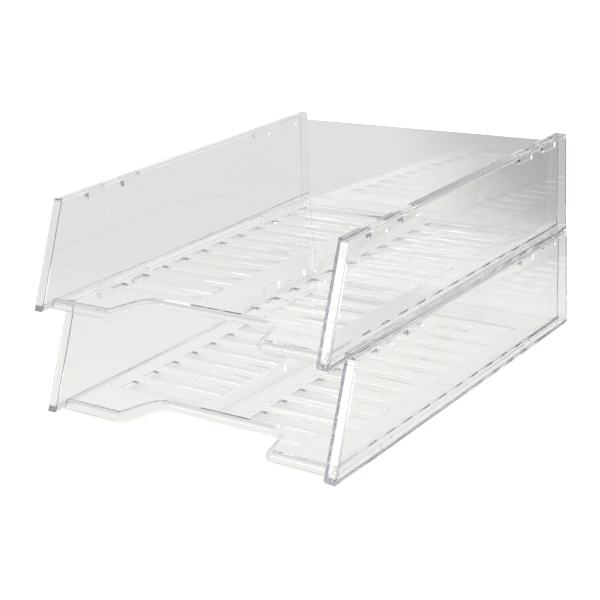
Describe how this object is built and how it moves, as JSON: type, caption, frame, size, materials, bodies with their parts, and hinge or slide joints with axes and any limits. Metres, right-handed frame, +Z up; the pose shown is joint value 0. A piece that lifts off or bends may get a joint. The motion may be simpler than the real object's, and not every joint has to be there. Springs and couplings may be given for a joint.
{
  "type": "letter tray",
  "caption": "Stacked clear plastic letter trays with slotted floors, front finger cut-outs, low back walls and channelled side walls that lock together by tabs and sockets.",
  "frame": {"origin": "centre of the bounding box in X and Y, on the surface that the lower tray's tabs stand on", "axes": "+Z up, -Y towards the user and the open front, +Y towards the back walls, X across the trays"},
  "size_m": [0.2692, 0.35, 0.1662],
  "materials": {
    "clear_polystyrene": "clear crystal polystyrene, polished, water-white with a slight cool grey cast at its edges"
  },
  "bodies": {
    "lower_tray": {"lower_tray": "clear_polystyrene"},
    "upper_tray": {"upper_tray": "clear_polystyrene"}
  },
  "joints": [
    {"name": "upper_tray_lift", "type": "slide", "parent": "lower_tray", "child": "upper_tray", "axis": [0, 0, 1], "range_m": [0, 0.08]}
  ]
}
